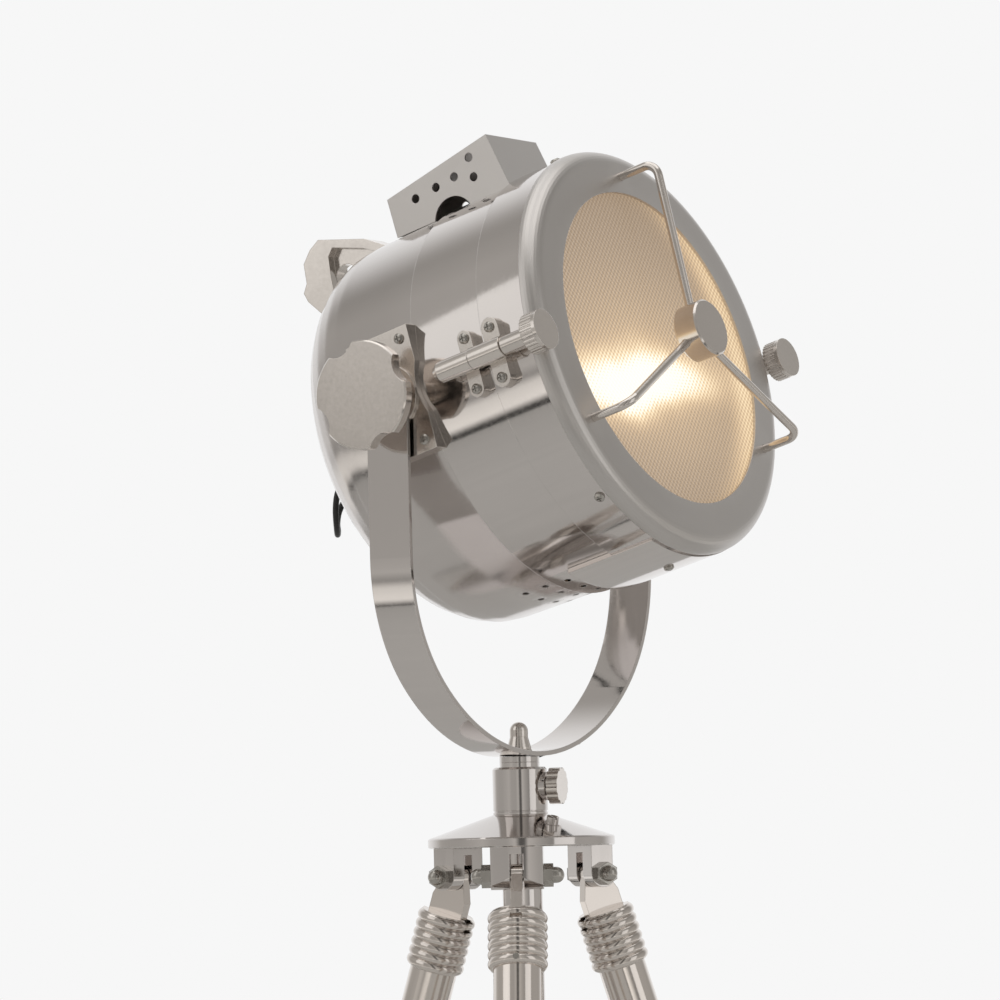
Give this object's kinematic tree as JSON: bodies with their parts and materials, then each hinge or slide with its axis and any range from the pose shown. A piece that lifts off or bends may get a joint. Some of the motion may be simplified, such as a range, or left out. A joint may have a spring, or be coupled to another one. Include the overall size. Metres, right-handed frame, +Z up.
{
  "type": "tripod floor lamp",
  "caption": "Spotlight-style floor lamp head in a tilting yoke on a sliding column with a folding tripod, plated metal, dimpled glass lens behind a wire guard.",
  "frame": {"origin": "on the floor under the centre of the lamp's footprint, cord left out", "axes": "+Z up, the lamp head faces -Y and +X is to the right of someone looking along +Y"},
  "size_m": [0.7898, 0.6892, 1.644],
  "materials": {
    "polished_nickel": "polished nickel, mirror with faint spinning lines",
    "polished_castings": "polished nickel on cast parts",
    "satin_nickel": "satin brushed nickel",
    "screws": "plated screws",
    "dark_steel": "matt dark paint",
    "lamp_holder": "moulded black",
    "bulb_glass": "frosted glass",
    "reflector": "bright aluminium",
    "lens_glass": "dimpled prismatic glass lit warm from behind",
    "seal": "black seal",
    "black_rubber": "black rubber",
    "cord_black": "black flexible cord",
    "plug_black": "black moulded plug with plated blades",
    "leg_nickel": "polished nickel tube",
    "foot_rubber": "black rubber foot"
  },
  "bodies": {
    "stand": {"top_plate": "polished_nickel", "hub": "polished_nickel", "hub_screw": "polished_nickel", "pivot_bolts": "screws", "pivot_nuts": "screws", "cord_drop": "cord_black", "cord_coil": "cord_black", "cord_tail": "cord_black", "plug": "plug_black"},
    "thumb": {"thumb_screw": "polished_castings"},
    "column": {"column_tube": "polished_nickel", "column_cap": "polished_nickel"},
    "yoke": {"yoke_strap": "polished_nickel", "pivot_washer": "polished_castings", "cap_nut": "polished_castings", "cord_clips": "black_rubber", "cord_yoke": "cord_black", "cord_pan": "cord_black"},
    "head": {"rear_shell": "polished_nickel", "centre_drum": "polished_nickel", "vent_box": "satin_nickel", "rear_handle": "polished_castings", "pivot_saddles": "polished_castings", "trunnions": "polished_castings", "latch_rear_brackets": "polished_castings", "head_screws": "screws", "lamp_bracket": "dark_steel", "lamp_holder": "lamp_holder", "bulb": "bulb_glass", "reflector": "reflector", "cord_gland": "black_rubber", "cord_head": "cord_black"},
    "front": {"front_housing": "polished_nickel", "lower_hood": "polished_nickel", "bezel_ring": "satin_nickel", "lens_seal": "seal", "lens": "lens_glass", "guard_rods": "polished_castings", "guard_boss": "polished_castings", "latch_front_brackets": "polished_castings", "door_screws": "screws"},
    "latch_left": {"latch_screw_left": "polished_castings"},
    "latch_right": {"latch_screw_right": "polished_castings"},
    "knob_left": {"tilt_knob_left": "polished_castings"},
    "knob_right": {"tilt_knob_right": "polished_castings"},
    "leg_left": {"leg_tongue_left": "leg_nickel", "leg_ferrule_left": "leg_nickel", "leg_tube_left": "leg_nickel", "leg_foot_left": "foot_rubber", "leg_screw_left": "screws"},
    "leg_right": {"leg_tongue_right": "leg_nickel", "leg_ferrule_right": "leg_nickel", "leg_tube_right": "leg_nickel", "leg_foot_right": "foot_rubber", "leg_screw_right": "screws"},
    "leg_rear": {"leg_tongue_rear": "leg_nickel", "leg_ferrule_rear": "leg_nickel", "leg_tube_rear": "leg_nickel", "leg_foot_rear": "foot_rubber", "leg_screw_rear": "screws"}
  },
  "joints": [
    {"name": "column_lift", "type": "slide", "parent": "stand", "child": "column", "axis": [0, 0, 1], "range_m": [0, 0.25], "deforming": ["cord_drop", "cord_pan"]},
    {"name": "yoke_pan", "type": "hinge", "parent": "column", "child": "yoke", "pos_m": [0, -0.108, 1.21151], "axis": [0, 0, 1], "range_deg": [-90, 90], "deforming": ["cord_pan"]},
    {"name": "head_tilt", "type": "hinge", "parent": "yoke", "child": "head", "pos_m": [0, -0.108, 1.4549], "axis": [1, 0, 0], "range_deg": [-40, 65], "deforming": ["cord_head"]},
    {"name": "knob_left_turn", "type": "hinge", "parent": "head", "child": "knob_left", "pos_m": [-0.17, -0.108, 1.4549], "axis": [-1, 0, 0], "range_deg": [0, 360]},
    {"name": "knob_right_turn", "type": "hinge", "parent": "head", "child": "knob_right", "pos_m": [0.17, -0.108, 1.4549], "axis": [1, 0, 0], "range_deg": [0, 360]},
    {"name": "front_slide", "type": "slide", "parent": "head", "child": "front", "axis": [0, -0.9636, 0.2672], "range_m": [0, 0.02]},
    {"name": "latch_left_turn", "type": "hinge", "parent": "front", "child": "latch_left", "pos_m": [-0.157, -0.23327, 1.48965], "axis": [0, -0.9636, 0.2672], "range_deg": [0, 360]},
    {"name": "latch_right_turn", "type": "hinge", "parent": "front", "child": "latch_right", "pos_m": [0.157, -0.23327, 1.48965], "axis": [0, -0.9636, 0.2672], "range_deg": [0, 360]},
    {"name": "thumb_turn", "type": "hinge", "parent": "stand", "child": "thumb", "pos_m": [0.00673, -0.13311, 1.1905], "axis": [0.2588, -0.9659, 0], "range_deg": [0, 360]},
    {"name": "leg_left_fold", "type": "hinge", "parent": "stand", "child": "leg_left", "pos_m": [-0.04763, -0.1355, 1.12851], "axis": [0.5, -0.866, 0], "range_deg": [0, 18.5]},
    {"name": "leg_right_fold", "type": "hinge", "parent": "stand", "child": "leg_right", "pos_m": [0.04763, -0.1355, 1.12851], "axis": [0.5, 0.866, 0], "range_deg": [0, 18.5]},
    {"name": "leg_rear_fold", "type": "hinge", "parent": "stand", "child": "leg_rear", "pos_m": [0, -0.053, 1.12851], "axis": [-1, 0, 0], "range_deg": [0, 18.5]}
  ]
}
